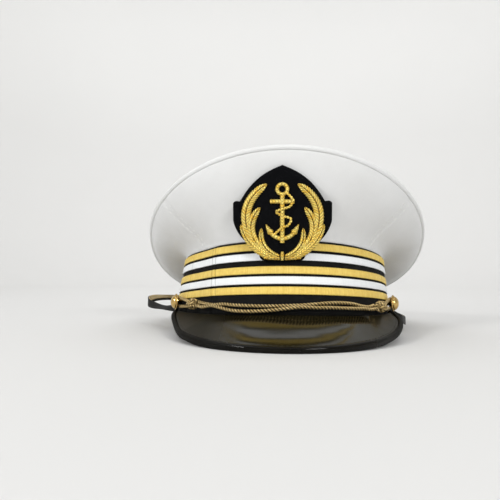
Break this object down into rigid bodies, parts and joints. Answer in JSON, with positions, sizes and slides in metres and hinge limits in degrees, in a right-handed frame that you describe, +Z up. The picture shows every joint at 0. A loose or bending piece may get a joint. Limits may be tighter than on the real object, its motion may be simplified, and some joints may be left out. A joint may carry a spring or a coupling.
{
  "type": "peaked cap",
  "caption": "White-topped naval officer's peaked cap with braided black band, patent peak, gold chin cord and an anchor-and-laurel badge, standing on its peak and rear hem.",
  "frame": {"origin": "middle of the cap's box, on the surface that it stands on", "axes": "+Z up, -Y to the front where the peak is, +X to the right of someone who looks at the front"},
  "size_m": [0.2252, 0.2832, 0.1241],
  "materials": {
    "white_cloth": "matt white cotton drill",
    "black_cloth": "black wool cloth, fine nap",
    "gold_braid": "woven gold lace with a fine rib",
    "silver_braid": "woven silver-white lace with a fine rib",
    "patent_leather": "high-gloss black patent",
    "gold_cord": "twisted antique-gold cord",
    "gilt": "polished gilt brass",
    "strap_leather": "black outer face, tan inner face",
    "badge_cloth": "blue-black felted cloth",
    "gold_bullion": "padded gold bullion embroidery"
  },
  "bodies": {
    "root": {"band_front_right": "black_cloth", "band_rear_right": "black_cloth", "band_rear_left": "black_cloth", "band_front_left": "black_cloth", "braid_gold_bottom": "gold_braid", "braid_silver_lower": "silver_braid", "braid_gold_middle": "gold_braid", "braid_silver_upper": "silver_braid", "braid_gold_top": "gold_braid", "crown_top": "white_cloth", "crown_front": "white_cloth", "crown_side_right": "white_cloth", "crown_side_left": "white_cloth", "crown_piping": "white_cloth", "peak": "patent_leather", "peak_binding": "patent_leather", "chin_cord_upper": "gold_cord", "chin_cord_lower": "gold_cord", "cord_knot_left": "gold_cord", "cord_knot_right": "gold_cord", "cord_loop_left": "gold_cord", "cord_loop_right": "gold_cord", "button_left": "gilt", "button_right": "gilt", "chin_strap": "strap_leather", "badge_backing": "badge_cloth", "badge_anchor": "gold_bullion", "badge_wreath_left": "gold_bullion", "badge_wreath_right": "gold_bullion", "badge_tie": "gold_bullion"}
  },
  "joints": []
}
